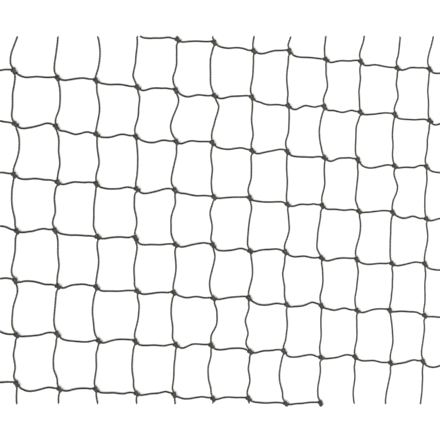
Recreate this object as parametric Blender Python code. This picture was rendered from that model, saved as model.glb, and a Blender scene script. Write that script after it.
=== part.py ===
"""A cut length of knotted cat protection netting, lying flat: one lattice of twine bars and knots.

Metres, +Z up. The origin is the middle of the netting's box, on the surface that it lies on.
The rows of bars run along X. The other bars are the columns, and they lean to the left.
"""

import math
import random

import bmesh
import bpy
from mathutils import Matrix, Vector

# Driving sizes.
MESH = 0.030  # from knot to knot, along a row and along a column
LEAN = math.radians(13.0)  # the columns' lean to the left, from square to the rows
TWINE = 0.0011  # the twine's width and height
KNOT_LENGTH = 0.0046
KNOT_WIDTH = 0.0025
KNOT_HEIGHT = 0.0022
KNOT_TOP = 0.62  # a knot's top over its foot, in size
KNOT_SIDES = 6

# The netting's knots, counted from the top row and the left column.
ROWS = 8
COLUMNS = 12
GRID_MIDDLE = Vector((-0.0037, -0.0058))  # where the middle of the rows and columns lies

# The straight cuts that free the length, corner by corner from the middle of the grid.
CUT_CORNERS = (
    # corner, right, up
    ("top left", -0.2025, 0.0888),
    ("bottom left", -0.1570, -0.1131),
    ("bottom right", 0.2120, -0.0989),
    ("top right", 0.1525, 0.1256),
)
CUT_SLACK = 0.001  # a knot this far past the cut is still kept

# How the laid netting is drawn out of square.
ZIGZAG = Vector((0.00078, -0.00070))  # every other knot, and the rest the other way
ROW_FAN = 0.000088  # the rows spread towards the right
ROW_CROWDING = 0.000080  # and close up towards the top
COLUMN_BOW = 0.000082  # the columns curve to the right at both ends
COLUMN_CROWDING = 0.000026  # and close up towards the right

# How unevenly the knots and bars lie by chance, as a standard deviation, and the most it may be.
SEED = 7
KNOT_SCATTER = 0.0004
BEND_SCATTER = 0.0003
SCATTER_LIMIT = 2.0

# A bar is bent by a bow to its left over its whole length, and a snake, to its left and then to
# its right. It sets off towards +X along a row, or towards -Y down a column. So the signs for a
# row bow to -Y, or to +Y at "^", and those for a column bow to the side that they look like.
BENDS = {
    # sign in the lay: bow, snake
    "V": (-0.0020, -0.0008),
    "v": (-0.0011, -0.0008),
    "-": (0.0000, -0.0008),
    "^": (0.0010, -0.0006),
    "<": (-0.0029, 0.0004),
    "(": (-0.0016, 0.0004),
    "|": (0.0001, 0.0004),
    ")": (0.0015, 0.0004),
    ">": (0.0028, 0.0006),
    "S": (-0.0004, 0.0017),
    "Z": (-0.0003, -0.0012),
}
ROW_LAY = (
    # how each bar of a row of knots lies: each sign is the bar to the right of one knot
    "---v-v-v-v-v",
    "v-v-V-V-V-v-",
    "-v-v-v-v-V-v",
    "--Vvv---v-V-",
    "-v-V-v^v-V-V",
    "^-vvV-V-v-^-",
    "-V-V---V-v-v",
    "V-v-v^V-----",
)
COLUMN_LAY = (
    # how the bars below each row of knots lie: each sign is the bar below one knot
    "SS>(|(|()|)|",
    "S>>)S>|)<((|",
    ">>>)S(||)|)|",
    "(((Z((S)<)()",
    "(>)S)S>()|)|",
    "S(<)<>())))|",
    "(<|<|(|<(|||",
)
STRAIGHTEST = {"row": "-", "column": "|"}  # the bars beyond the lays
BAR_STEPS = {"row": 3, "column": 4}  # straight runs in a bar

KNOT_TURNS = {False: math.radians(-30.0), True: math.radians(-45.0)}  # by odd knot

TWINE_COLOUR = (0.075, 0.074, 0.062, 1.0)
TWINE_ROUGHNESS = 0.6
MERGE_DISTANCE = 0.00001


def is_odd(row, column):
    return (row + column) % 2 == 1


def scatter(chance, amount):
    """A chance amount, bell-shaped, of this standard deviation."""
    return amount * max(-SCATTER_LIMIT, min(SCATTER_LIMIT, chance.gauss(0.0, 1.0)))


def knot_place(row, column):
    """A knot's place by rule: the leaning grid, its drift and its zigzag."""
    u = column - (COLUMNS - 1) / 2
    v = (ROWS - 1) / 2 - row
    grid = MESH * Vector((u - v * math.sin(LEAN), v * math.cos(LEAN)))
    drift = Vector((
        COLUMN_BOW * v * v - COLUMN_CROWDING * u * u,
        ROW_FAN * u * v - ROW_CROWDING * v * v,
    ))
    return grid + drift + (-ZIGZAG if is_odd(row, column) else ZIGZAG)


def make_knots(chance):
    """Every knot's place, with one row and column more all round, for the bars that are cut."""
    knots = {}
    for row in range(-1, ROWS + 1):
        for column in range(-1, COLUMNS + 1):
            aside = Vector((scatter(chance, KNOT_SCATTER), scatter(chance, KNOT_SCATTER)))
            knots[row, column] = knot_place(row, column) + aside
    return knots


def inside_depth(point, start, end):
    """How far a point lies inside the cut that runs from start to end."""
    along = (end - start).normalized()
    return along.x * (point.y - start.y) - along.y * (point.x - start.x)


def cut_lines():
    corners = [Vector((right, up)) for _, right, up in CUT_CORNERS]
    return list(zip(corners, corners[1:] + corners[:1]))


def is_kept(point):
    return all(inside_depth(point, *cut) > -CUT_SLACK for cut in cut_lines())


def bend_of(direction, row, column):
    """The bow and the snake of the bar that sets off from this knot."""
    lay = {"row": ROW_LAY, "column": COLUMN_LAY}[direction]
    on_lay = 0 <= row < len(lay) and 0 <= column < COLUMNS
    return BENDS[lay[row][column] if on_lay else STRAIGHTEST[direction]]


def bent_bar(start, end, bow, snake, steps):
    """The middle line of a bar between two knots."""
    along = end - start
    left = Vector((-along.y, along.x)).normalized()
    points = []
    for step in range(steps + 1):
        share = step / steps
        aside = bow * math.sin(math.pi * share) + snake * math.sin(2 * math.pi * share)
        points.append(start + share * along + aside * left)
    return points


def cut_bar(points):
    """The part of a bar's line from its first point to where a cut crosses it."""
    kept = [points[0]]
    for before, after in zip(points, points[1:]):
        shares = [1.0]
        for cut in cut_lines():
            depth, next_depth = inside_depth(before, *cut), inside_depth(after, *cut)
            if next_depth < 0.0 < depth:
                shares.append(depth / (depth - next_depth))
        kept.append(before.lerp(after, min(shares)))
        if len(shares) > 1:
            return kept
    return kept


def make_bars(knots, chance):
    """The lattice's bars, each as its two ends' names and its middle line."""
    bars = []
    for row, column in knots:
        for direction, other in (("row", (row, column + 1)), ("column", (row + 1, column))):
            bow, snake = bend_of(direction, row, column)
            bow += scatter(chance, BEND_SCATTER)
            snake += scatter(chance, BEND_SCATTER)
            if other not in knots:
                continue
            steps = BAR_STEPS[direction]
            line = bent_bar(knots[row, column], knots[other], bow, snake, steps)
            ends = [(row, column), other]
            kept = [is_kept(knots[end]) for end in ends]
            if kept == [True, True]:
                bars.append((ends[0], ends[1], line))
            elif kept == [True, False]:
                bars.append((ends[0], ("cut", *ends), cut_bar(line)))
            elif kept == [False, True]:
                bars.append((ends[1], ("cut", *ends), cut_bar(line[::-1])))
    return bars


def direction_angle(line):
    along = line[1] - line[0]
    return math.atan2(along.y, along.x)


def trace_loops(bars):
    """The closed walks along the bars that keep each gap of the lattice, or all of it, on the left.

    A walk is a list of bars' lines, each from one knot or cut end to the next.
    """
    ways_out = {}
    for start, end, line in bars:
        ways_out.setdefault(start, []).append((direction_angle(line), end, line))
        ways_out.setdefault(end, []).append((direction_angle(line[::-1]), start, line[::-1]))
    following = {}
    for here, ways in ways_out.items():
        ways.sort(key=lambda way: way[0])
        for index, (_, end, _) in enumerate(ways):
            following[end, here] = (here, ways[index - 1][1])
    lines = {(here, end): line for here, ways in ways_out.items() for _, end, line in ways}
    loops = []
    unwalked = dict.fromkeys(lines)
    while unwalked:
        first = step = next(iter(unwalked))
        loop = []
        while True:
            loop.append(lines[step])
            del unwalked[step]
            step = following[step]
            if step == first:
                break
        loops.append(loop)
    return loops


def left_edge(before, point, after):
    """Half a twine's width to the left of a line's corner, or two points round a cut end."""
    come = (point - before).normalized()
    go = (after - point).normalized()
    come_left = Vector((-come.y, come.x))
    go_left = Vector((-go.y, go.x))
    if come.dot(go) < -0.99:
        return [point + come_left * TWINE / 2, point + go_left * TWINE / 2]
    middle = (come_left + go_left).normalized()
    return [point + middle * (TWINE / 2) / middle.dot(go_left)]


def loop_outline(loop):
    """The edge of the twine along one walk round the lattice."""
    corners = [point for line in loop for point in line[:-1]]
    outline = []
    for index, point in enumerate(corners):
        after = corners[(index + 1) % len(corners)]
        outline += left_edge(corners[index - 1], point, after)
    return outline


def make_lattice(bars):
    """The bars as one flat solid, standing on the ground, as tall as the twine."""
    curve = bpy.data.curves.new("net", "CURVE")
    curve.dimensions = "2D"
    curve.fill_mode = "BOTH"
    curve.extrude = TWINE / 2
    for loop in trace_loops(bars):
        outline = loop_outline(loop)
        spline = curve.splines.new("POLY")
        spline.points.add(len(outline) - 1)
        for spline_point, corner in zip(spline.points, outline):
            spline_point.co = (corner.x, corner.y, 0.0, 1.0)
        spline.use_cyclic_u = True
    outline_object = bpy.data.objects.new("net_outline", curve)
    outline_object.location = (GRID_MIDDLE.x, GRID_MIDDLE.y, TWINE / 2)
    bpy.context.scene.collection.objects.link(outline_object)

    evaluated = outline_object.evaluated_get(bpy.context.evaluated_depsgraph_get())
    mesh = bpy.data.meshes.new_from_object(evaluated)
    mesh.transform(outline_object.matrix_world)
    bpy.data.objects.remove(outline_object)
    shape = bmesh.new()
    shape.from_mesh(mesh)
    bmesh.ops.remove_doubles(shape, verts=shape.verts, dist=MERGE_DISTANCE)
    bmesh.ops.recalc_face_normals(shape, faces=shape.faces)
    shape.to_mesh(mesh)
    shape.free()
    mesh.name = "net"
    return mesh


def make_knot_lumps(knots):
    """A tapered lozenge for each knot, standing on the ground."""
    shape = bmesh.new()
    for (row, column), place in knots.items():
        if not is_kept(place):
            continue
        middle = place + GRID_MIDDLE
        matrix = (
            Matrix.Translation((middle.x, middle.y, KNOT_HEIGHT / 2))
            @ Matrix.Rotation(KNOT_TURNS[is_odd(row, column)], 4, "Z")
            @ Matrix.Diagonal((KNOT_LENGTH / 2, KNOT_WIDTH / 2, KNOT_HEIGHT, 1.0))
        )
        bmesh.ops.create_cone(
            shape, cap_ends=True, segments=KNOT_SIDES, radius1=1.0, radius2=KNOT_TOP, depth=1.0,
            matrix=matrix,
        )
    mesh = bpy.data.meshes.new("knots")
    shape.to_mesh(mesh)
    shape.free()
    return mesh


def twine_material():
    material = bpy.data.materials.new("twine")
    material.use_nodes = True
    shader = material.node_tree.nodes["Principled BSDF"]
    shader.inputs["Base Color"].default_value = TWINE_COLOUR
    shader.inputs["Roughness"].default_value = TWINE_ROUGHNESS
    shader.inputs["Metallic"].default_value = 0.0
    return material


def new_collection(name):
    collection = bpy.data.collections.new(name)
    bpy.context.scene.collection.children.link(collection)
    return collection


def build():
    for old in list(bpy.data.objects):
        bpy.data.objects.remove(old)
    parts = new_collection("cat_protection_net")
    joined_shapes = new_collection("joined_shapes")

    chance = random.Random(SEED)
    knots = make_knots(chance)
    bars = make_bars(knots, chance)

    lumps = bpy.data.objects.new("knots", make_knot_lumps(knots))
    lumps.hide_render = True
    lumps.display_type = "WIRE"
    joined_shapes.objects.link(lumps)

    net = bpy.data.objects.new("net", make_lattice(bars))
    net.data.materials.append(twine_material())
    parts.objects.link(net)
    join = net.modifiers.new("knots", "BOOLEAN")
    join.operation = "UNION"
    join.solver = "EXACT"
    join.object = lumps


build()
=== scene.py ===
"""The looks of a cut length of knotted cat protection netting, lying flat on a pale floor.

The netting is knotted from yarns that run in steps from its lower left to its upper right. Each
yarn is a twine of four plies of fine polyethylene filaments, and each knot is a sheet bend: one
yarn makes a loop there, a bight, and the next yarn is hitched round it.
"""

import math
import random

import bpy
import numpy as np
from mathutils import Matrix, Vector


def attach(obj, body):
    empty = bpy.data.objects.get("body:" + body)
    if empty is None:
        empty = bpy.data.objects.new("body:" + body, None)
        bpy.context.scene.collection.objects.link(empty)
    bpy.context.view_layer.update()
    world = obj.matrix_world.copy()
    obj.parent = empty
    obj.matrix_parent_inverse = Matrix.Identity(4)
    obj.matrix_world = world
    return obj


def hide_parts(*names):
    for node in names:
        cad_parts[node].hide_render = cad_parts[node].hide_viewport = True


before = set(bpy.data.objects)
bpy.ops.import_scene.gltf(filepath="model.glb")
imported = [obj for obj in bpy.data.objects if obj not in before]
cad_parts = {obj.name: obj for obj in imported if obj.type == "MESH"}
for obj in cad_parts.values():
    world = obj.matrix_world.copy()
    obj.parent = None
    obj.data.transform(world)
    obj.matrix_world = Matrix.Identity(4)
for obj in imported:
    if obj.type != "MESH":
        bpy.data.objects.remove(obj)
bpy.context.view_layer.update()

# ---------------------------------------------------------------------------------------------
# The lay of the netting. These values, and the order of the chance draws, repeat the CAD model's.
# ---------------------------------------------------------------------------------------------
MESH = 0.030  # from knot to knot, along a row and along a column
LEAN = math.radians(13.0)  # the columns' lean to the left, from square to the rows
TWINE = 0.0011  # the twine's width

ROWS = 8
COLUMNS = 12
GRID_MIDDLE = Vector((-0.0037, -0.0058))  # where the middle of the rows and columns lies

CUT_CORNERS = (
    # corner, right, up, from the middle of the grid
    ("top left", -0.2025, 0.0888),
    ("bottom left", -0.1570, -0.1131),
    ("bottom right", 0.2120, -0.0989),
    ("top right", 0.1525, 0.1256),
)
CUT_SLACK = 0.001  # a knot this far past the cut is still kept

ZIGZAG = Vector((0.00078, -0.00070))  # every other knot, and the rest the other way
ROW_FAN = 0.000088  # the rows spread towards the right
ROW_CROWDING = 0.000080  # and close up towards the top
COLUMN_BOW = 0.000082  # the columns curve to the right at both ends
COLUMN_CROWDING = 0.000026  # and close up towards the right

SEED = 7
KNOT_SCATTER = 0.0004
BEND_SCATTER = 0.0003
SCATTER_LIMIT = 2.0

BENDS = {
    # sign in the lay: bow, snake
    "V": (-0.0020, -0.0008),
    "v": (-0.0011, -0.0008),
    "-": (0.0000, -0.0008),
    "^": (0.0010, -0.0006),
    "<": (-0.0029, 0.0004),
    "(": (-0.0016, 0.0004),
    "|": (0.0001, 0.0004),
    ")": (0.0015, 0.0004),
    ">": (0.0028, 0.0006),
    "S": (-0.0004, 0.0017),
    "Z": (-0.0003, -0.0012),
}
ROW_LAY = (
    # how each bar of a row of knots lies: each sign is the bar to the right of one knot
    "---v-v-v-v-v",
    "v-v-V-V-V-v-",
    "-v-v-v-v-V-v",
    "--Vvv---v-V-",
    "-v-V-v^v-V-V",
    "^-vvV-V-v-^-",
    "-V-V---V-v-v",
    "V-v-v^V-----",
)
COLUMN_LAY = (
    # how the bars below each row of knots lie: each sign is the bar below one knot
    "SS>(|(|()|)|",
    "S>>)S>|)<((|",
    ">>>)S(||)|)|",
    "(((Z((S)<)()",
    "(>)S)S>()|)|",
    "S(<)<>())))|",
    "(<|<|(|<(|||",
)
STRAIGHTEST = {"row": "-", "column": "|"}  # the bars beyond the lays


def is_odd(row, column):
    return (row + column) % 2 == 1


def scatter(chance, amount):
    """A chance amount, bell-shaped, of this standard deviation."""
    return amount * max(-SCATTER_LIMIT, min(SCATTER_LIMIT, chance.gauss(0.0, 1.0)))


def knot_place(row, column):
    """A knot's place by rule: the leaning grid, its drift and its zigzag."""
    u = column - (COLUMNS - 1) / 2
    v = (ROWS - 1) / 2 - row
    grid = MESH * Vector((u - v * math.sin(LEAN), v * math.cos(LEAN)))
    drift = Vector((
        COLUMN_BOW * v * v - COLUMN_CROWDING * u * u,
        ROW_FAN * u * v - ROW_CROWDING * v * v,
    ))
    return grid + drift + (-ZIGZAG if is_odd(row, column) else ZIGZAG)


def make_knots(chance):
    """Every knot's place, with one row and column more all round, for the bars that are cut."""
    knots = {}
    for row in range(-1, ROWS + 1):
        for column in range(-1, COLUMNS + 1):
            aside = Vector((scatter(chance, KNOT_SCATTER), scatter(chance, KNOT_SCATTER)))
            knots[row, column] = knot_place(row, column) + aside
    return knots


def inside_depth(point, start, end):
    """How far a point lies inside the cut that runs from start to end."""
    along = (end - start).normalized()
    return along.x * (point.y - start.y) - along.y * (point.x - start.x)


def cut_lines():
    corners = [Vector((right, up)) for _, right, up in CUT_CORNERS]
    return list(zip(corners, corners[1:] + corners[:1]))


def is_kept(point):
    return all(inside_depth(point, *cut) > -CUT_SLACK for cut in cut_lines())


def bend_of(direction, row, column):
    """The bow and the snake of the bar that sets off from this knot."""
    lay = {"row": ROW_LAY, "column": COLUMN_LAY}[direction]
    on_lay = 0 <= row < len(lay) and 0 <= column < COLUMNS
    return BENDS[lay[row][column] if on_lay else STRAIGHTEST[direction]]


# ---------------------------------------------------------------------------------------------
# Finer bends than the CAD model has, and the heights at which the twine lies.
# ---------------------------------------------------------------------------------------------
FINE_SEED = 31
TWINE_RADIUS = 0.52 * TWINE  # over the plies' crests
RIPPLES = {
    # direction, from an odd knot: how far the third and the fourth harmonic move a bar
    ("row", False): (-0.00015, -0.00019),
    ("row", True): (-0.00015, 0.0),
    ("column", False): (-0.00017, 0.00020),
    ("column", True): (0.00012, 0.00020),
}
RIPPLE_SCATTER = 0.00012
DIPS = {"row": 0.00035, "column": 0.0}  # how far a bar dips where it leaves its knot
DIP_SHARE = 0.14  # where along the bar the dip is deepest
DIP_SPREAD = 0.08  # and how far it spreads, as a standard deviation
LIFT = 0.0005  # how far the middle of a bar may spring off the floor, as a standard deviation
END_LIFT = (0.0002, 0.0009)  # the least and the most that a cut end springs up
BAR_POINTS = 30  # steps along a bar before it is smoothed
BAR_CLEAR_POINTS = 3  # points next to each knot that are left to the smoothing


def bent_bar(start, end, bends, dip, lift, shares):
    """A bar's middle line as points in metres: bent sideways by its harmonics, and lifted."""
    along = end - start
    left = Vector((-along.y, along.x)).normalized()
    points = []
    for share in shares:
        aside = sum(bend * math.sin((order + 1) * math.pi * share)
                    for order, bend in enumerate(bends))
        aside -= dip * math.exp(-0.5 * ((share - DIP_SHARE) / DIP_SPREAD) ** 2)
        place = start + share * along + aside * left
        height = TWINE_RADIUS + lift * math.sin(math.pi * share) ** 2
        points.append((place.x, place.y, height))
    return points


def make_legs(knots, chance):
    """The bars as they leave each kept knot: {(knot, side): (points outwards, far end)}.

    The far end is the knot and the side that the bar comes to, or None at a cut.
    """
    fine = random.Random(FINE_SEED)
    legs = {}
    shares = [step / BAR_POINTS for step in range(BAR_POINTS + 1)]
    ways = {"row": ((0, 1), "right", "left"), "column": ((1, 0), "down", "up")}
    for knot in knots:
        for direction, (step, leaving, coming) in ways.items():
            bends = [bend + scatter(chance, BEND_SCATTER) for bend in bend_of(direction, *knot)]
            bends += [ripple + scatter(fine, RIPPLE_SCATTER)
                      for ripple in RIPPLES[direction, is_odd(*knot)]]
            lift = abs(scatter(fine, LIFT))
            end_lift = fine.uniform(*END_LIFT)
            other = (knot[0] + step[0], knot[1] + step[1])
            if other not in knots:
                continue
            line = bent_bar(knots[knot], knots[other], bends, DIPS[direction], lift, shares)
            kept = (is_kept(knots[knot]), is_kept(knots[other]))
            if kept == (True, True):
                line = line[BAR_CLEAR_POINTS:-BAR_CLEAR_POINTS]
                legs[knot, leaving] = (line, (other, coming))
                legs[other, coming] = (line[::-1], (knot, leaving))
            elif kept == (True, False):
                legs[knot, leaving] = (cut_bar(line, end_lift), None)
            elif kept == (False, True):
                legs[other, coming] = (cut_bar(line[::-1], end_lift), None)
    return legs


def cut_bar(line, end_lift):
    """The part of a bar from its knot to the cut, springing up towards its cut end."""
    kept = [line[0]]
    for before, after in zip(line, line[1:]):
        shares = [1.0]
        for cut in cut_lines():
            depth = inside_depth(Vector(before[:2]), *cut)
            next_depth = inside_depth(Vector(after[:2]), *cut)
            if next_depth < 0.0 < depth:
                shares.append(depth / (depth - next_depth))
        kept.append(tuple(Vector(before).lerp(Vector(after), min(shares))))
        if len(shares) > 1:
            break
    last = len(kept) - 1
    sprung = [(x, y, z + end_lift * (index / last) ** 2) for index, (x, y, z) in enumerate(kept)]
    return sprung[BAR_CLEAR_POINTS:]


# ---------------------------------------------------------------------------------------------
# The knot: a sheet bend, set out from listed points and then pulled tight.
# ---------------------------------------------------------------------------------------------
# Points in twine widths: a towards the lower right end of the knot, b towards its upper right
# side, c up.
BIGHT = (
    # a, b, c: from the left bar, round the nose, to the top bar
    (-5.0, -1.9, 0.0),
    (-3.6, -1.1, 0.0),
    (-2.4, -0.7, 0.0),
    (-0.8, -0.62, 0.0),
    (0.4, -0.62, 0.0),
    (1.3, -0.55, 0.15),
    (1.8, 0.0, 0.3),
    (1.3, 0.55, 0.15),
    (0.4, 0.62, 0.0),
    (-0.8, 0.62, 0.0),
    (-2.4, 0.7, 0.0),
    (-3.6, 1.1, 0.0),
    (-5.0, 1.9, 0.0),
)
HITCH = (
    # a, b, c: from the bottom bar, up through the bight, behind its two legs, and out under
    # itself to the right bar
    (5.0, -1.9, 0.0),
    (3.6, -1.1, -0.2),
    (2.4, -0.5, -0.5),
    (1.6, 0.0, -0.7),
    (0.9, 0.05, 0.2),
    (0.4, 0.1, 1.5),
    (-0.4, 0.5, 1.3),
    (-1.1, 1.3, 0.2),
    (-1.3, 0.7, -1.0),
    (-1.3, -0.6, -1.0),
    (-1.0, -1.4, 0.0),
    (-0.4, -0.8, 0.95),
    (0.3, 0.1, 0.7),
    (0.8, 0.9, 0.85),
    (1.6, 1.2, 0.3),
    (3.0, 1.2, 0.0),
    (5.0, 1.9, 0.0),
)
KNOT_KINDS = 4  # knots tied a little differently
KNOT_JITTER = 0.08  # how differently: the scatter of the tables' points, in twine widths
KNOT_SEED = 5
CURVE_STEPS = 10  # between two of the tables' points
KNOT_STEP = 0.2  # between the points of a knot's lines, in twine widths
KNOT_SIZE = 1.00  # a tight knot's size, beside the same knot of round twine
KNOT_GAP = 0.66  # how near two strands' middles come in a tight knot, in twine widths
KNOT_ROUNDS = 150  # rounds of one pull and some pushes
KNOT_PULL = 0.3  # how far a pull takes a point towards the middle of its two neighbours
KNOT_PUSHES = 3
KNOT_PUSH = 0.5  # how much of the room that two points lack each of them gives in a push
KNOT_OWN = 1.6  # points nearer than this along one strand, in gaps, don't push each other
KNOT_REACH = 1.5  # how far a knot's own lines are kept, along a, in twine widths
KNOT_ROLL = math.radians(25.0)  # how far the knot lies rolled over its long axis
KNOT_TURNS = {False: math.radians(-30.0), True: math.radians(-45.0)}  # by odd knot
TURN_SCATTER = math.radians(4.0)
ROLL_SCATTER = math.radians(6.0)
KNOT_SQUEEZE = 0.84  # how thick the twine is in a knot, beside a bar's


def lengths(line):
    """How far along the line each of its points is."""
    return np.concatenate([[0.0], np.cumsum(np.linalg.norm(np.diff(line, axis=0), axis=1))])


def unit(vectors):
    return vectors / np.linalg.norm(vectors, axis=-1, keepdims=True)


def resampled(along, places, *columns):
    """Columns of numbers at some places, read off between the ones known along a line."""
    return np.column_stack([np.interp(places, along, column) for column in columns])


def evenly(line, step):
    """The line again, with its points about step apart."""
    along = lengths(line)
    places = np.linspace(0.0, along[-1], max(2, round(along[-1] / step) + 1))
    return resampled(along, places, *line.T)


def rounded(points, step):
    """A smooth line through given points, with even steps."""
    points = np.array(points)
    ends = (2 * points[0] - points[1], 2 * points[-1] - points[-2])
    p = np.vstack([ends[0], points, ends[1]])
    t = np.linspace(0.0, 1.0, CURVE_STEPS, endpoint=False)[:, None]
    runs = []
    for before, start, end, after in zip(p, p[1:], p[2:], p[3:]):
        runs.append(start + 0.5 * t * (end - before)
                    + 0.5 * t ** 2 * (2 * before - 5 * start + 4 * end - after)
                    + 0.5 * t ** 3 * (3 * start - before - 3 * end + after))
    return evenly(np.vstack([*runs, points[-1:]]), step)


def pulled_tight(lines):
    """Lines drawn tight by their ends, while their strands keep a strand's width apart."""
    for _ in range(KNOT_ROUNDS):
        ends = np.cumsum([len(line) for line in lines])
        points = np.vstack(lines)
        inner = np.ones(len(points), bool)
        inner[ends - 1] = False
        inner[ends - [len(line) for line in lines]] = False
        places = np.flatnonzero(inner)
        middles = (points[places - 1] + points[places + 1]) / 2
        points[places] += KNOT_PULL * (middles - points[places])
        strand = np.repeat(np.arange(len(lines)), [len(line) for line in lines])
        order = np.arange(len(points))
        neighbours = (strand[:, None] == strand) & (
            np.abs(order[:, None] - order) * KNOT_STEP < KNOT_OWN * KNOT_GAP)
        for _ in range(KNOT_PUSHES):
            apart = points[:, None] - points
            distance = np.linalg.norm(apart, axis=2)
            short = np.where(neighbours, 0.0, np.maximum(0.0, KNOT_GAP - distance))
            pushes = apart * (short / np.maximum(distance, 1e-6))[:, :, None]
            crowd = np.maximum((short > 0).sum(axis=1), 1)[:, None]
            points[inner] += (KNOT_PUSH * pushes.sum(axis=1) / crowd)[inner]
        lines = [evenly(line, KNOT_STEP) for line in np.split(points, ends[:-1])]
    return lines


def trimmed(line):
    """The stretch of a knot's line from where it first comes near the knot to where it leaves."""
    near = np.flatnonzero(np.abs(line[:, 0]) < KNOT_REACH)
    return line[near[0]:near[-1] + 1]


def tie_knots():
    """Some knots, each as (the bight's line, the hitch's line), in twine widths."""
    chance = random.Random(KNOT_SEED)
    kinds = []
    for _ in range(KNOT_KINDS):
        jittered = []
        for table in (BIGHT, HITCH):
            moved = [[x + scatter(chance, KNOT_JITTER) for x in point] for point in table[1:-1]]
            jittered.append(rounded([table[0], *moved, table[-1]], KNOT_STEP))
        kinds.append([trimmed(line) for line in pulled_tight(jittered)])
    return kinds


def place_knots(knots):
    """{knot: (its bight's points, its hitch's points)}, in metres, standing on the floor."""
    kinds = tie_knots()
    chance = random.Random(KNOT_SEED + 1)
    placed = {}
    for knot, place in knots.items():
        kind = kinds[chance.randrange(KNOT_KINDS)]
        turn = KNOT_TURNS[is_odd(*knot)] + scatter(chance, TURN_SCATTER)
        roll = KNOT_ROLL + scatter(chance, ROLL_SCATTER)
        if not is_kept(place):
            continue
        matrix = np.array(Matrix.Rotation(turn, 3, "Z") @ Matrix.Rotation(roll, 3, "X"))
        lines = [TWINE * KNOT_SIZE * line @ matrix.T for line in kind]
        lowest = min(line[:, 2].min() for line in lines)
        lift = TWINE_RADIUS * KNOT_SQUEEZE - lowest
        placed[knot] = [line + (place.x, place.y, lift) for line in lines]
    return placed


# ---------------------------------------------------------------------------------------------
# Yarns: each one's middle line through all its bars and knots.
# ---------------------------------------------------------------------------------------------
# A yarn that comes by one side of a knot passes it as its bight or its hitch, and leaves by
# another side.
PASSES = {"left": (0, "up"), "down": (1, "right")}
LINE_STEP = 0.0003  # between a yarn's points while it is smoothed
SMOOTH_ROUNDS = 20
SMOOTHING = 0.5  # how far a round takes a point towards the middle of its two neighbours
KINK_SPACING = 0.008
KINK = (0.0008, 0.00045)  # how far a yarn strays, along x and along y: standard deviations
KINK_EASE = 0.004  # the kinks grow to that over this length from a knot
BAR_RING_STEP = 0.00058  # between the twine's rings along a bar
KNOT_RING_STEP = 0.00033  # and in a knot
RING_EASE = 1.5  # how early the rings draw together where a bar meets a knot


def make_yarns(legs, placed):
    """Each yarn as (its place in the order of yarns, its points, how far each is in a knot)."""
    yarns = []
    starts = [(knot, side) for (knot, side), (_, far) in legs.items()
              if side in PASSES and far is None]
    for knot, side in starts:
        number = sum(knot) if side == "left" else sum(knot) + 1
        stub, _ = legs[knot, side]
        runs = [(stub[::-1], 0.0)]
        here = (knot, side)
        while here:
            knot, side = here
            pass_index, leaving = PASSES[side]
            bar, here = legs[knot, leaving]
            runs += [(placed[knot][pass_index], 1.0), (bar, 0.0)]
        runs = [run for run in runs if len(run[0])]
        points = np.vstack([np.array(line) for line, _ in runs])
        in_knot = np.concatenate([np.full(len(line), inside) for line, inside in runs])
        yarns.append((number, points, in_knot))
    return yarns


def smoothed(points, in_knot, chance):
    """A yarn's line with even steps, a little kinked, and eased where its bars meet its knots."""
    along = lengths(points)
    places = np.linspace(0.0, along[-1], round(along[-1] / LINE_STEP) + 1)
    values = resampled(along, places, *points.T, in_knot)
    line, inside = values[:, :3], values[:, 3]
    kink_places = np.arange(0.0, along[-1] + KINK_SPACING, KINK_SPACING)
    kinks = resampled(kink_places, places, [scatter(chance, 1.0) for _ in kink_places])
    heading = unit(np.gradient(line[:, :2], axis=0))
    aside = np.column_stack([-heading[:, 1], heading[:, 0]]) * KINK
    away = np.abs(places[:, None] - places[inside > 0.0]).min(axis=1, keepdims=True)
    line[:, :2] += np.minimum(1.0, away / KINK_EASE) * kinks * aside
    ease = SMOOTHING * (1.0 - inside)[1:-1, None]
    for _ in range(SMOOTH_ROUNDS):
        values[1:-1] += ease * ((values[:-2] + values[2:]) / 2 - values[1:-1])
    return line, inside


def with_rings(line, inside):
    """The line with the twine's rings' spacing, close in knots and wider along bars."""
    closeness = np.minimum(1.0, inside * RING_EASE)
    wanted = BAR_RING_STEP + (KNOT_RING_STEP - BAR_RING_STEP) * closeness
    steps = np.diff(lengths(line)) / ((wanted[1:] + wanted[:-1]) / 2)
    count = np.concatenate([[0.0], np.cumsum(steps)])
    values = resampled(count, np.linspace(0.0, count[-1], round(count[-1]) + 1), *line.T, inside)
    return values[:, :3], values[:, 3]


def frames_along(line):
    """Two unit normals at each point of a line, that turn as little as they can along it."""
    tangents = unit(np.gradient(line, axis=0))
    normals = np.empty_like(line)
    normal = np.cross(tangents[0], (0.0, 0.0, 1.0))
    for index, tangent in enumerate(tangents):
        normal = unit(normal - tangent * normal.dot(tangent))
        normals[index] = normal
    return normals, np.cross(tangents, normals)


# ---------------------------------------------------------------------------------------------
# The twine: plies twisted round a yarn's middle line.
# ---------------------------------------------------------------------------------------------
PLIES = 4
SIDES = 6
PITCH = 0.0056  # a full turn of the twist
# Plies that touch each other round the twine, and together are as wide as it is.
PLY_SHARE = math.sin(math.pi / PLIES) / (1 + math.sin(math.pi / PLIES))
PLY_RADIUS = TWINE_RADIUS * PLY_SHARE
TWIST_RADIUS = TWINE_RADIUS - PLY_RADIUS
SPLAY = 0.2  # how much further apart the plies are at a cut end
SPLAY_LENGTH = 0.0025
UNEVEN_ENDS = 2  # a ply is cut fewer rings short than this
TWINE_SEED = 17
KNOT_WEAR_AND_HIGHLIGHT = 1.6  # how much paler the twine is in a knot, beside plies that differ by 1: rubbed wear and a painted highlight on the knots' raised middles


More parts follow.
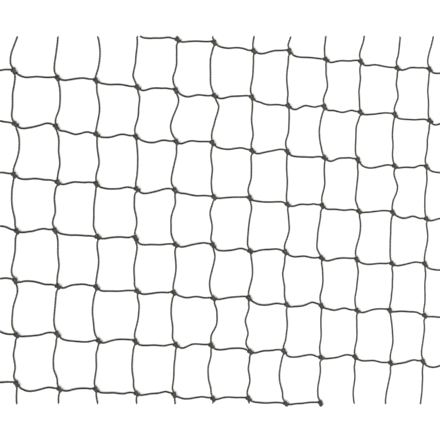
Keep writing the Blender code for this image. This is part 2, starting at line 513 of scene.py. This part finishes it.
def twisted(line, inside, chance):
    """The plies of one yarn, each as (its rings' points, their lengths along it, their tones)."""
    normals, sides = frames_along(line)
    along = lengths(line)
    squeeze = 1.0 - (1.0 - KNOT_SQUEEZE) * inside
    from_end = np.minimum(along, along[-1] - along)
    spread = 1.0 + SPLAY * np.maximum(0.0, 1.0 - from_end / SPLAY_LENGTH) ** 2
    phase = chance.uniform(0.0, 2 * math.pi)
    around = 2 * math.pi * np.arange(SIDES)[:, None] / SIDES
    plies = []
    for number in range(PLIES):
        angle = (phase + 2 * math.pi * (along / PITCH + number / PLIES))[:, None]
        outwards = np.cos(angle) * normals + np.sin(angle) * sides
        middles = line + TWIST_RADIUS * (squeeze * spread)[:, None] * outwards
        heading = unit(np.gradient(middles, axis=0))
        outwards = unit(outwards - heading * (outwards * heading).sum(axis=1, keepdims=True))
        across = np.cross(heading, outwards)
        rims = np.cos(around) * outwards[:, None] + np.sin(around) * across[:, None]
        rings = middles[:, None] + PLY_RADIUS * squeeze[:, None, None] * rims
        kept = slice(chance.randrange(UNEVEN_ENDS), len(line) - chance.randrange(UNEVEN_ENDS))
        # each ply's own random tone, paler in knots: rubbed wear and a painted highlight on the
        # knots' raised middles
        tones = chance.random() + KNOT_WEAR_AND_HIGHLIGHT * inside[kept]
        plies.append((rings[kept], lengths(middles[kept]), tones))
    return plies


# ---------------------------------------------------------------------------------------------
# The pieces: some yarns each, as closed tubes.
# ---------------------------------------------------------------------------------------------
SIDE_EDGES = np.arange(SIDES + 1) / SIDES  # round a ply
CAP_CIRCLE = np.column_stack([np.cos(2 * np.pi * SIDE_EDGES[1:]), np.sin(2 * np.pi * SIDE_EDGES[1:])])
CAP_ROOM = 0.001  # left for a ply's two cut ends on the map for baking
ROW_INSET = 0.08  # the share of a row's height that is left clear on each side of its plies


def corners_of(left, right, low, high):
    """Where the corners of a tube's quads lie on a map, from the edges of each quad."""
    left, right, low, high = np.broadcast_arrays(left, right, low, high)
    corners = [(left, low), (left, high), (right, high), (right, low)]
    return np.stack([np.stack(corner, -1) for corner in corners], -2).reshape(-1, 2)


def map_lengthwise(plies):
    """A map of each ply by itself: metres along it, and shares of a turn round it."""
    quads = [corners_of(along[:-1, None], along[1:, None], SIDE_EDGES[:-1], SIDE_EDGES[1:])
             for _, along, _ in plies]
    caps = [np.column_stack([np.full(SIDES, at), SIDE_EDGES[:-1]])
            for _, along, _ in plies for at in (along[0], along[-1])]
    return np.vstack(quads + caps)


def map_in_rows(plies):
    """A square map that all the plies fill row by row, for whatever is baked from the piece."""
    total = sum(along[-1] + CAP_ROOM for _, along, _ in plies)
    row_length = math.sqrt(total * 2 * math.pi * PLY_RADIUS)
    rows = math.ceil(total / row_length)
    quads = []
    caps = []
    laid = 0.0
    for _, along, _ in plies:
        row, left = np.divmod(laid + along[:-1, None], row_length)
        low, high = (row + ROW_INSET + (1 - 2 * ROW_INSET) * edges
                     for edges in (SIDE_EDGES[:-1], SIDE_EDGES[1:]))
        width = row_length + CAP_ROOM
        quads.append(corners_of(left / width, (left + np.diff(along)[:, None]) / width,
                                low / rows, high / rows))
        laid += along[-1] + CAP_ROOM
        row, left = divmod(laid - CAP_ROOM / 2, row_length)
        spot = np.array((left / width, (row + 0.5) / rows))
        caps += 2 * [spot + CAP_CIRCLE * CAP_ROOM / 4 / width]
    return np.vstack(quads + caps)


def ply_mesh(name, plies):
    """One mesh of closed tubes."""
    counts = [len(rings) for rings, _, _ in plies]
    starts = SIDES * (np.cumsum(counts) - counts)
    quads = []
    caps = []
    for start, count in zip(starts, counts):
        index = start + np.arange(count * SIDES).reshape(count, SIDES)
        after = np.roll(index, -1, axis=1)
        quads.append(np.stack([index[:-1], after[:-1], after[1:], index[1:]], axis=2).ravel())
        caps += [index[0][::-1], index[-1]]
    points = np.vstack([rings.reshape(-1, 3) for rings, _, _ in plies])
    vertices = np.concatenate(quads + caps)
    sizes = np.repeat((4, SIDES), (sum(len(quad) for quad in quads) // 4, len(caps)))
    mesh = bpy.data.meshes.new(name)
    mesh.vertices.add(len(points))
    mesh.vertices.foreach_set("co", points.ravel())
    mesh.loops.add(len(vertices))
    mesh.loops.foreach_set("vertex_index", vertices)
    mesh.polygons.add(len(sizes))
    mesh.polygons.foreach_set("loop_start", np.cumsum(sizes) - sizes)
    mesh.polygons.foreach_set("use_smooth", sizes == 4)
    mesh.update(calc_edges=True)
    for map_name, places in (("lengthwise", map_lengthwise(plies)), ("OFBake", map_in_rows(plies))):
        mesh.uv_layers.new(name=map_name).uv.foreach_set("vector", places.ravel())
    tones = np.repeat(np.concatenate([tones for _, _, tones in plies]), SIDES)
    mesh.attributes.new("tone", "FLOAT", "POINT").data.foreach_set("value", tones)
    mesh.validate()
    return mesh


# ---------------------------------------------------------------------------------------------
# Materials.
# ---------------------------------------------------------------------------------------------
FLOOR_COLOUR = (0.90, 0.90, 0.885, 1.0)
FLOOR_ROUGHNESS = 0.9

TWINE_COLOUR = (0.0258, 0.0252, 0.0197)
SPECULAR = 0.35
ROUGHNESS = (0.36, 0.56)  # from the smoothest filaments to the roughest

FILAMENTS = 7  # ridges round a ply
FILAMENT_PITCH = 0.0065  # they wind round their ply the other way from the plies
FILAMENT_RIDGE = 0.2  # how high the ridges are, beside the fibres' noise
FIBRE_SCALE = 2.2  # of the fibres' noise, taken round a ply as if its radius were 1
FIBRE_CHANGE = 260.0  # and along it, how many such radii a metre is
BUMP_DEPTH = 0.00005
BUMP_STRENGTH = 0.8

NOISE_ROUGHNESS = 0.6
NOISE_RANGE = (0.3, 0.7)  # most of a noise lies between these
GRAIN_RANGE = (0.2, 0.8)  # and most of the filaments' grain between these
GROOVE_SHADE_AND_GRAIN = (0.76, 1.18)  # the twine's brightness at both ends of that: painted shade in the grooves between filaments and a painted highlight on their crests, with the fibres' own grain
MOTTLING = (
    # patches a metre, detail, the twine's brightness at both ends of the noise
    (70.0, 3.0, 0.82, 1.18),
    (330.0, 2.0, 0.80, 1.20),
)
TONE_RANGE = (0.0, 3.0)  # of the plies' own tones and what knots add: rubbed wear and a painted highlight
TONE_SHADES = (0.90, 1.50)

DUST_COLOUR = (0.17, 0.16, 0.13, 1.0)
DUST_SCALE = 900.0  # specks a metre
DUST_RANGE = (0.58, 0.75)  # the noise at which dust begins, and at which it is thickest
DUST_COVER = (0.0, 0.25)  # how much of the twine's colour it hides there
FINE_DETAIL = 3.0  # of the fibres' and the dust's noise


def add_node(tree, kind, inputs, **settings):
    """A new node, with its settings, and a value or another node's output for each input."""
    node = tree.nodes.new(kind)
    for name, value in settings.items():
        setattr(node, name, value)
    for name, value in inputs.items():
        if isinstance(value, bpy.types.NodeSocket):
            tree.links.new(value, node.inputs[name])
        else:
            node.inputs[name].default_value = value
    return node


def calculate(tree, operation, *values):
    node = add_node(tree, "ShaderNodeMath", dict(enumerate(values)), operation=operation)
    return node.outputs["Value"]


def noise(tree, vector, scale, detail):
    inputs = {"Vector": vector, "Scale": scale, "Detail": detail, "Roughness": NOISE_ROUGHNESS}
    return add_node(tree, "ShaderNodeTexNoise", inputs).outputs["Fac"]


def graded(tree, value, low, high, to_low, to_high):
    """A value from low to high, as one from to_low to to_high."""
    inputs = {"Value": value, "From Min": low, "From Max": high, "To Min": to_low, "To Max": to_high}
    return add_node(tree, "ShaderNodeMapRange", inputs).outputs["Result"]


def new_material(name):
    material = bpy.data.materials.new(name)
    material.use_nodes = True
    return material, material.node_tree, material.node_tree.nodes["Principled BSDF"]


def twine_material():
    """Weathered dark olive polyethylene: its plies show filaments, mottling and some dust, with
    painted shade in the grooves between filaments and a painted highlight on their crests and in
    knots.
    """
    material, tree, shader = new_material("twine")
    lengthwise = add_node(tree, "ShaderNodeUVMap", {}, uv_map="lengthwise").outputs["UV"]
    parts = add_node(tree, "ShaderNodeSeparateXYZ", {"Vector": lengthwise}).outputs
    turn = calculate(tree, "MULTIPLY_ADD", parts["X"], -1 / FILAMENT_PITCH, parts["Y"])
    angle = calculate(tree, "MULTIPLY", turn, 2 * math.pi)
    ring = add_node(tree, "ShaderNodeCombineXYZ", {
        "X": calculate(tree, "COSINE", angle),
        "Y": calculate(tree, "SINE", angle),
        "Z": calculate(tree, "MULTIPLY", parts["X"], FIBRE_CHANGE),
    }).outputs["Vector"]
    fibres = noise(tree, ring, FIBRE_SCALE, FINE_DETAIL)
    ridges = calculate(tree, "SINE", calculate(tree, "MULTIPLY", angle, FILAMENTS))
    grain = calculate(tree, "MULTIPLY_ADD", ridges, FILAMENT_RIDGE, fibres)

    place = add_node(tree, "ShaderNodeTexCoord", {}).outputs["Object"]
    tone = add_node(tree, "ShaderNodeAttribute", {}, attribute_name="tone").outputs["Fac"]
    # darker in the grooves between filaments and paler on their crests: painted shade and highlight,
    # with the fibres' own grain
    shade = graded(tree, grain, *GRAIN_RANGE, *GROOVE_SHADE_AND_GRAIN)
    others = [graded(tree, noise(tree, place, scale, detail), *NOISE_RANGE, darkest, lightest)
              for scale, detail, darkest, lightest in MOTTLING]
    # the plies' tones, paler in knots: rubbed wear and a painted highlight
    for other in [*others, graded(tree, tone, *TONE_RANGE, *TONE_SHADES)]:
        shade = calculate(tree, "MULTIPLY", shade, other)
    colour = add_node(tree, "ShaderNodeVectorMath", {0: TWINE_COLOUR, "Scale": shade},
                      operation="SCALE").outputs["Vector"]
    specks = noise(tree, place, DUST_SCALE, FINE_DETAIL)
    dust = graded(tree, specks, *DUST_RANGE, *DUST_COVER)
    mixed = add_node(tree, "ShaderNodeMix", {0: dust, 6: colour, 7: DUST_COLOUR}, data_type="RGBA")
    tree.links.new(mixed.outputs[2], shader.inputs["Base Color"])
    roughness = graded(tree, fibres, *NOISE_RANGE, *ROUGHNESS)
    tree.links.new(roughness, shader.inputs["Roughness"])
    shader.inputs["Specular IOR Level"].default_value = SPECULAR
    inputs = {"Height": grain, "Distance": BUMP_DEPTH, "Strength": BUMP_STRENGTH}
    bump = add_node(tree, "ShaderNodeBump", inputs)
    tree.links.new(bump.outputs["Normal"], shader.inputs["Normal"])
    return material


def floor_material():
    material, _, shader = new_material("floor")
    shader.inputs["Base Color"].default_value = FLOOR_COLOUR
    shader.inputs["Roughness"].default_value = FLOOR_ROUGHNESS
    return material


# ---------------------------------------------------------------------------------------------
# Building, light and camera.
# ---------------------------------------------------------------------------------------------
PIECES = (
    # name, the last yarn in it, its share's width and length when the netting was cut
    ("net_yarns_lower_left", 6, 0.140, 0.131),
    ("net_yarns_left", 9, 0.067, 0.302),
    ("net_yarns_right", 12, 0.068, 0.307),
    ("net_yarns_upper_right", 19, 0.140, 0.136),
)
FLOOR_SIDE = 12.0
SKY = (0.15, 0.50, 1.10, 0.20)  # heights where it starts and stops dimming, strengths there
LIGHTS = (
    # name, the way to it, how wide it looks, strength
    ("softbox", Vector((-2.6, -0.35, 2.7)), math.radians(25.0), 4.0),
    ("side_light", Vector((-3.0, 0.2, 0.55)), math.radians(15.0), 2.3),
)
CAMERA_SENSOR = 36.0
CAMERA_LENS = 323.0
CAMERA_PLACE = Vector((-1.5865, 0.1848, 1.6320))
CAMERA_BACK = Vector((-0.6919, 0.0833, 0.7171))
CAMERA_UP = Vector((-0.0697, 0.9810, -0.1812))


def link(obj):
    bpy.context.scene.collection.objects.link(obj)
    return obj


def turned(back, up):
    """The turn of a camera or light that looks away from back, with up upwards."""
    back = back.normalized()
    right = up.cross(back).normalized()
    return Matrix((right, back.cross(right), back)).transposed().to_4x4()


def build_net():
    chance = random.Random(SEED)
    knots = make_knots(chance)
    legs = make_legs(knots, chance)
    yarns = make_yarns(legs, place_knots(knots))
    chance = random.Random(TWINE_SEED)
    middle = (GRID_MIDDLE.x, GRID_MIDDLE.y, 0.0)
    plies = {}
    for number, points, in_knot in sorted(yarns, key=lambda yarn: yarn[0]):
        line, inside = with_rings(*smoothed(points, in_knot, chance))
        plies.setdefault(number, []).extend(twisted(line + middle, inside, chance))
    material = twine_material()
    first = 0
    for name, last, width, length in PIECES:
        own = [ply for number in range(first, last + 1) for ply in plies.get(number, [])]
        piece = link(bpy.data.objects.new(name, ply_mesh(name, own)))
        piece.data.materials.append(material)
        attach(piece, "root")
        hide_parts("net")
        first = last + 1


def build_floor():
    half = FLOOR_SIDE / 2
    mesh = bpy.data.meshes.new("floor")
    corners = [(-half, -half, 0.0), (half, -half, 0.0), (half, half, 0.0), (-half, half, 0.0)]
    mesh.from_pydata(corners, [], [(0, 1, 2, 3)])
    mesh.materials.append(floor_material())
    link(bpy.data.objects.new("floor", mesh))


def build_light():
    scene = bpy.context.scene
    scene.world = bpy.data.worlds.new("studio")
    scene.world.use_nodes = True
    tree = scene.world.node_tree
    way = add_node(tree, "ShaderNodeTexCoord", {}).outputs["Generated"]
    height = add_node(tree, "ShaderNodeSeparateXYZ", {"Vector": way}).outputs["Z"]
    background = tree.nodes["Background"]
    background.inputs["Color"].default_value = (1.0, 1.0, 1.0, 1.0)
    tree.links.new(graded(tree, height, *SKY), background.inputs["Strength"])
    for name, way_to, width, strength in LIGHTS:
        data = bpy.data.lights.new(name, "SUN")
        data.angle = width
        data.energy = strength
        light = link(bpy.data.objects.new(name, data))
        light.matrix_world = Matrix.Translation(way_to) @ turned(way_to, Vector((0, 1, 0)))
    scene.view_settings.view_transform = "Standard"


def build_camera():
    data = bpy.data.cameras.new("camera")
    data.lens = CAMERA_LENS
    data.sensor_width = CAMERA_SENSOR
    camera = link(bpy.data.objects.new("camera", data))
    camera.matrix_world = Matrix.Translation(CAMERA_PLACE) @ turned(CAMERA_BACK, CAMERA_UP)
    bpy.context.scene.camera = camera


build_camera()
build_net()
build_floor()
build_light()
